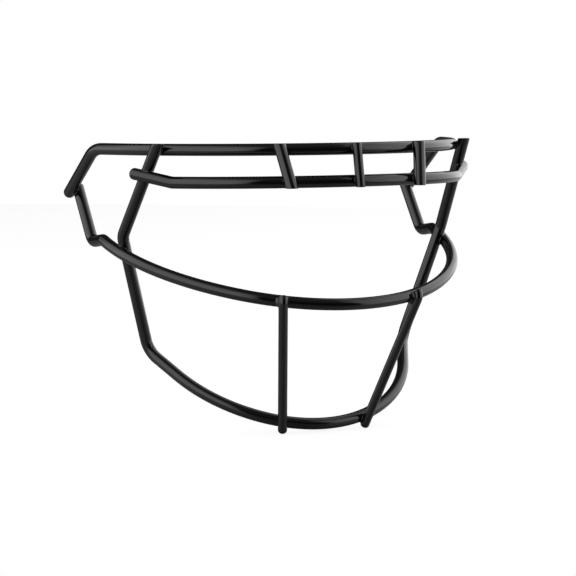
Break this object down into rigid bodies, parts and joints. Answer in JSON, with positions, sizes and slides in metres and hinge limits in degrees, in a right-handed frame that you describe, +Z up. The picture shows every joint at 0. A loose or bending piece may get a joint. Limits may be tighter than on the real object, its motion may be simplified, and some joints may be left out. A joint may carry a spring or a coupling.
{
  "type": "football helmet face guard",
  "caption": "Welded wire face guard for a football helmet: bent, black-coated steel wires that leave an open window for the eyes and openings at the mouth, cheeks and sides.",
  "frame": {"origin": "on the centreline of the upper brow wire, at its foremost point, midway between left and right", "axes": "+Z up, +Y towards the back of the helmet, +X towards the right of the front view; the guard faces -Y"},
  "size_m": [0.2404, 0.1697, 0.1723],
  "materials": {
    "wire_coat": "gloss",
    "joint_coat": "gloss"
  },
  "bodies": {
    "root": {"upper_brow_wire": "wire_coat", "lower_brow_wire": "wire_coat", "mouth_wire": "wire_coat", "jaw_loop_wire": "wire_coat", "brow_strut_right": "wire_coat", "brow_strut_left": "wire_coat", "brow_strut_centre": "wire_coat", "front_bar_right": "wire_coat", "front_bar_left": "wire_coat", "weld_upper_brow_jaw_right": "joint_coat", "weld_upper_brow_jaw_left": "joint_coat", "weld_upper_brow_rod_right": "joint_coat", "weld_upper_brow_rod_left": "joint_coat", "weld_jaw_mouth_right": "joint_coat", "weld_jaw_mouth_left": "joint_coat", "weld_jaw_lower_brow_right": "joint_coat", "weld_jaw_lower_brow_left": "joint_coat", "weld_upper_brow_strut_right": "joint_coat", "weld_upper_brow_strut_left": "joint_coat", "weld_lower_brow_strut_right": "joint_coat", "weld_lower_brow_strut_left": "joint_coat", "weld_mouth_bar_right": "joint_coat", "weld_mouth_bar_left": "joint_coat", "weld_chin_bar_right": "joint_coat", "weld_chin_bar_left": "joint_coat", "weld_upper_brow_strut_centre": "joint_coat", "weld_lower_brow_strut_centre": "joint_coat"}
  },
  "joints": []
}
